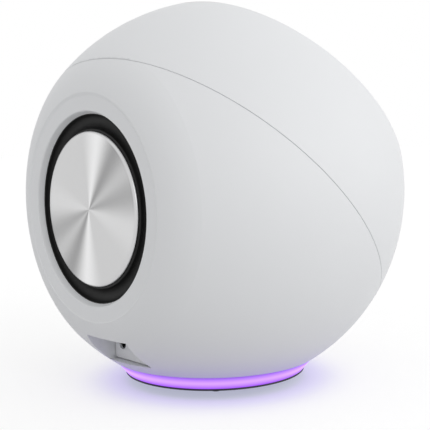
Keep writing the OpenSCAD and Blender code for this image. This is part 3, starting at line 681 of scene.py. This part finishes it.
RECESS_LOW = Vector((-14.0, 36.7, 11.9)) * MM       # low corner of the recess's end wall
RECESS_HIGH = Vector((6.3, 36.7, 21.2)) * MM
PLATE = 1.0 * MM
PLATE_GAP = 0.4 * MM
PLATE_CORNER = 1.2 * MM
PLATE_EDGE = 0.12 * MM                              # bevel round the plate and its openings
CLEAR = MM / 100                                    # between the plate and the wall behind it
USB_OPENING = (4.6 * MM, 1.75 * MM, 1.7 * MM)       # half width, half height and corner radius
JACK_OPENING = (1.95 * MM, 1.95 * MM, 1.9499 * MM)
JACK_MIDDLE = 2.5 * MM                              # height of the jack's middle above its body's underside


def round_ended(center, half_width, half_height, corner):
    """Points of a rectangle with round corners, counterclockwise."""
    points = []
    for quarter, (side, up) in enumerate(((1, 1), (-1, 1), (-1, -1), (1, -1))):
        middle = Vector((center[0] + side * (half_width - corner), center[1] + up * (half_height - corner)))
        turns = [math.pi / 2 * (quarter + i / 10) for i in range(11)]
        points += [middle + Vector((math.cos(t), math.sin(t))) * corner for t in turns]
    return points


def connector_plate():
    """Plate at the recess's end with a gap all round and openings for both sockets."""
    usb_low, usb_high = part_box("usb_c_socket")
    jack_low, jack_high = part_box("audio_socket")
    middle = (RECESS_LOW + RECESS_HIGH) / 2
    half = (RECESS_HIGH - RECESS_LOW) / 2
    usb = (usb_low + usb_high) / 2
    jack = (jack_low + jack_high) / 2
    outlines = [
        round_ended((middle.x, middle.z), half.x - PLATE_GAP, half.z - PLATE_GAP, PLATE_CORNER),
        round_ended((usb.x, usb.z), *USB_OPENING),
        round_ended((jack.x, jack_low.z + JACK_MIDDLE), *JACK_OPENING),
    ]
    flat = bpy.data.curves.new("connector_plate", "CURVE")
    flat.dimensions = "2D"
    flat.fill_mode = "BOTH"
    flat.extrude = PLATE / 2 - PLATE_EDGE
    flat.bevel_depth = PLATE_EDGE
    flat.offset = -PLATE_EDGE
    for outline in outlines:
        line = flat.splines.new("POLY")
        line.points.add(len(outline) - 1)
        line.use_cyclic_u = True
        for point, place in zip(line.points, outline):
            point.co = (*place, 0, 1)
    drawn = bpy.data.objects.new("connector_plate", flat)
    mesh = bpy.data.meshes.new_from_object(drawn)
    bpy.data.objects.remove(drawn)
    shape = bmesh.new()
    shape.from_mesh(mesh)
    place = Matrix.Translation((0, RECESS_LOW.y + PLATE / 2 + CLEAR, 0))
    bmesh.ops.transform(shape, matrix=place @ Matrix.Rotation(math.pi / 2, 4, "X"), verts=shape.verts)
    close(shape)
    piece = finished("connector_plate", shape, "shell white")
    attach(piece, "cabinet")


lit_ring()
base_dish()
foot_pads()
connector_plate()


# ------------------------------------------------------------ the front: the cap, its wide rim and the fascia

CAP_MIDDLE = -3.6 * MM          # how far the front cap's arc is centred off the driver's axis
CAP_ARC = BALL_R - CAP_MIDDLE   # radius of that arc
SHELL_WALL = 2.4 * MM
CUT = 38.15 * MM                # level along the driver's axis where the cap ends and the rim begins
LIP_R = 1.7 * MM
LIP_LEVEL = 38.1 * MM           # level of the middle of the rim's rounded lip
SWELL = 0.3 * MM                # how far the cap's edge stands outside that arc
SWELL_FROM = 20 * MM            # level where the cap begins to swell
ON_ARC = 0.04 * MM              # corners nearer the arc than this belong to the outer face
FACES_OUT = 0.95                # and their faces turn out at least this much of the arc's own way
BAFFLE = (32.4 * MM, 38.2 * MM, 43.4 * MM, 40.6 * MM)    # inner edge, underside, outer edge and face


def in_cap(depth, along):
    """How far a face at a depth under the cap's outer face lies from the driver's axis at a level."""
    swell = SWELL * (max(along - SWELL_FROM, 0) / (CUT - SWELL_FROM)) ** 2
    return CAP_MIDDLE + math.sqrt((CAP_ARC - depth) ** 2 - along ** 2) + swell


def on_cap(face, place):
    """Where a corner of the cap's outer face belongs and the normal there, or None for other corners."""
    along = (place - DRIVER.start).dot(DRIVER.out)
    across = place - DRIVER.start - DRIVER.out * along
    arc = across.normalized() * (across.length - CAP_MIDDLE) + DRIVER.out * along
    if abs(arc.length - CAP_ARC) > ON_ARC or face.normal.dot(arc.normalized()) < FACES_OUT:
        return None
    little = MM / 10
    slope = (in_cap(0, along + little) - in_cap(0, along - little)) / (2 * little)
    return (DRIVER.start + DRIVER.out * along + across.normalized() * in_cap(0, along),
            (across.normalized() - DRIVER.out * slope).normalized())


def front_cap():
    """The front shell, cut level where the wide rim begins and a little swollen towards it."""
    shape = bmesh.new()
    shape.from_mesh(NODES["front_shell"].data)
    bmesh.ops.remove_doubles(shape, verts=shape.verts, dist=MERGE)
    whole = shape.verts[:] + shape.edges[:] + shape.faces[:]
    cut = bmesh.ops.bisect_plane(shape, geom=whole, dist=MERGE, plane_co=DRIVER.start + DRIVER.out * CUT,
                                 plane_no=DRIVER.out, clear_outer=True)
    border = [part for part in cut["geom_cut"] if isinstance(part, bmesh.types.BMEdge)]
    bmesh.ops.triangle_fill(shape, use_beauty=True, edges=border, normal=DRIVER.out)
    shape.normal_update()
    shape.faces.index_update()
    shape.verts.index_update()
    skin = {(face.index, corner.vert.index): on_cap(face, corner.vert.co.copy())
            for face in shape.faces for corner in face.loops}
    piece = finished("front_cap", shape, "shell white")
    mesh = piece.data
    normals = [Vector()] * len(mesh.loops)
    for face in mesh.polygons:
        for loop in face.loop_indices:
            corner = mesh.loops[loop].vertex_index
            if skin[face.index, corner]:
                mesh.vertices[corner].co, normals[loop] = skin[face.index, corner]
    mesh.normals_split_custom_set(normals)
    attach(piece, "cabinet")
    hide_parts("front_shell")


LIP = (in_cap(LIP_R, LIP_LEVEL), LIP_LEVEL)
LIP_DROP = 2.2 * MM     # from the lip's middle down to where the rim's inner face turns in
FOOT_DROP = 4 * MM      # from the baffle's underside down to the rim's foot


def front_rim():
    """Rounded rim that closes the cap, with the baffle that carries the driver."""
    start = math.asin(LIP_LEVEL / (CAP_ARC - LIP_R))
    turns = [start + (math.pi - start) * i / ARC_STEPS for i in range(ARC_STEPS + 1)]
    skin = [(in_cap(0, level), level) for level in (CUT, CUT + 0.6 * MM)]
    lip = [(LIP[0] + LIP_R * math.cos(t), LIP[1] + LIP_R * math.sin(t)) for t in turns]
    inner, under, outer, face = BAFFLE
    wall = lip[-1][0]
    low = under - FOOT_DROP
    backs = [(in_cap(SHELL_WALL, level), level) for level in (low, low + FOOT_DROP / 2, CUT)]
    shape = bmesh.new()
    turn_solid(shape, DRIVER, [*skin, *lip, (wall, LIP_LEVEL - LIP_DROP), (outer + 0.6 * MM, face - 0.3 * MM),
                               (outer, face), (inner, face), (inner, under), (outer, under),
                               (wall - 0.4 * MM, low), *backs])
    close(shape)
    piece = finished("front_rim", shape, "shell white")
    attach(piece, "cabinet")


# The fascia's underside from the screws outwards and its crown from the rim inwards, in mm away from the
# driver's axis and along it
FASCIA_UNDER = ((38.2, 44.1), (43.4, 41.2))
FASCIA_CROWN = ((47.4, 40.7), (43.8, 43.1), (39.8, 44.8), (36.2, 45.4))
FASCIA_EDGE = (36.7 * MM, 38.0 * MM)    # levels of its thin outer edge
# Its round inner lip, in mm outwards from its bore and up from the cone's edge
FASCIA_SEAT = ((0, 0), (0.8, 0), (1.0, 1.9))
FASCIA_LIP = ((2.0, 2.9), (0.5, 2.2), (0, 1.2))


def fascia():
    """Black dished ring from the driver's surround out to the rim."""
    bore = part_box("driver_surround")[1].x + 0.4 * MM
    edge = LIP[0] - LIP_R - 0.2 * MM
    seat, lip = ([(bore + out * MM, CONE_FACE + up * MM) for out, up in line]
                 for line in (FASCIA_SEAT, FASCIA_LIP))
    under, crown = ([(away * MM, along * MM) for away, along in line]
                    for line in (FASCIA_UNDER, FASCIA_CROWN))
    shape = bmesh.new()
    turn_solid(shape, DRIVER, [*seat, *under, *((edge, level) for level in FASCIA_EDGE), *crown, *lip])
    close(shape)
    piece = finished("fascia", shape, "moulded black")
    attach(piece, "cabinet")
    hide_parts("trim_ring")


front_cap()
front_rim()
fascia()


# ------------------------------------------------------------ floor, backdrop and lamps

def seen_share(finish):
    """1 where the camera or a reflection looks, 0 where light is gathered."""
    path = finish.node("ShaderNodeLightPath", {}, (), "Is Camera Ray")
    glossy = Wire(finish, path.socket.node.outputs["Is Glossy Ray"])
    through = Wire(finish, path.socket.node.outputs["Is Transmission Ray"])
    return (path + glossy + through).clamped()


class Backdrop(Finish):
    """A floor or sky finish: one shader where it is seen, another where light bounces."""

    def __init__(self, tree, output):
        self.tree = tree
        self.output = output

    def shader_node(self, kind, **sockets):
        node = self.tree.nodes.new(kind)
        for name, value in sockets.items():
            self.put(node.inputs[name.title()], value)
        return Wire(self, node.outputs[0])

    def join(self, gathered, seen):
        mix = self.node("ShaderNodeMixShader", {}, (seen_share(self), gathered, seen))
        self.tree.links.new(mix.socket, self.output.inputs["Surface"])


FLOOR_SHADE = 0.45      # how much of the seen floor is shaded by the lamps
FLOOR_WHITE = 0.62      # the rest glows, so that the open floor is white
FLOOR_HALF = 4          # metres
# The halo round the base is a painted shadow and painted violet glow of the lit ring on the floor: it darkens
# and tints the seen floor, and darkens the floor's bounce as a painted contact shadow
HALO_START = -RING_LOW.x - 4 * MM
HALO_END = 56 * MM
PAINTED_HALO_TINT = (0.66, 0.68, 0.86)
HALO_LIGHT = (0.25, 0.14, 1.0)      # violet that the halo casts on the base and the cabinet's underside
HALO_STRENGTH = 0.6
FLOOR_GATHERED = 0.68               # how pale the floor is to the light that bounces off it
PAINTED_SHADOW_GATHERED = 0.3


def make_floor():
    mesh = bpy.data.meshes.new("floor")
    shape = bmesh.new()
    bmesh.ops.create_grid(shape, x_segments=1, y_segments=1, size=FLOOR_HALF)
    shape.to_mesh(mesh)
    shape.free()
    floor = bpy.data.objects.new("floor", mesh)
    bpy.context.scene.collection.objects.link(floor)
    material = bpy.data.materials.new("pale floor")
    material.use_nodes = True
    mesh.materials.append(material)
    backdrop = Backdrop(material.node_tree, material.node_tree.nodes["Material Output"])
    away = backdrop.node("ShaderNodeVectorMath", {"operation": "LENGTH"}, (backdrop.place(),), "Value")
    # Painted shadow and glow on the floor, strongest at the base and gone by HALO_END
    painted_halo = (1 - away.step(HALO_START, HALO_END)) ** 2
    tint = backdrop.mix(painted_halo, (1, 1, 1), PAINTED_HALO_TINT)
    pale = backdrop.shader_node("ShaderNodeBsdfDiffuse", color=(FLOOR_SHADE,) * 3)
    white = backdrop.shader_node("ShaderNodeEmission", color=tint, strength=FLOOR_WHITE)
    seen = backdrop.node("ShaderNodeAddShader", {}, (pale, white))
    # Painted contact shadow: the floor bounces less light near the base
    bounced = backdrop.mix(painted_halo, (FLOOR_GATHERED,) * 3, (PAINTED_SHADOW_GATHERED,) * 3)
    matt = backdrop.shader_node("ShaderNodeBsdfDiffuse", color=bounced)
    violet = backdrop.shader_node("ShaderNodeEmission", color=HALO_LIGHT, strength=painted_halo * HALO_STRENGTH)
    backdrop.join(backdrop.node("ShaderNodeAddShader", {}, (matt, violet)), seen)


SKY_LIGHT = 0.75


def make_sky():
    world = bpy.data.worlds.new("studio")
    world.use_nodes = True
    bpy.context.scene.world = world
    backdrop = Backdrop(world.node_tree, world.node_tree.nodes["World Output"])
    gathered = backdrop.shader_node("ShaderNodeBackground", color=(1, 1, 1), strength=SKY_LIGHT)
    backdrop.join(gathered, backdrop.shader_node("ShaderNodeBackground", color=(1, 1, 1), strength=1))


LAMP_WIDTH = 50         # degrees of sky that each lamp fills


def sun(name, azimuth, height, strength):
    """A far soft lamp. Azimuth 0 is at the camera, positive to its right."""
    data = bpy.data.lights.new(name, "SUN")
    data.angle = math.radians(LAMP_WIDTH)
    data.energy = strength
    lamp = bpy.data.objects.new(name, data)
    turn, lift = math.radians(azimuth), math.radians(height)
    level = Vector((BACK.x, BACK.y, 0)).normalized()
    aside = level * math.cos(turn) + RIGHT * math.sin(turn)
    toward = aside * math.cos(lift) + Vector((0, 0, math.sin(lift)))
    lamp.rotation_mode = "QUATERNION"
    lamp.rotation_quaternion = toward.to_track_quat("Z", "Y")
    bpy.context.scene.collection.objects.link(lamp)


make_floor()
make_sky()
sun("key", 45, 20, 0.7)
sun("side", 90, 12, 0.5)

view_settings = bpy.context.scene.view_settings
view_settings.view_transform = "Standard"
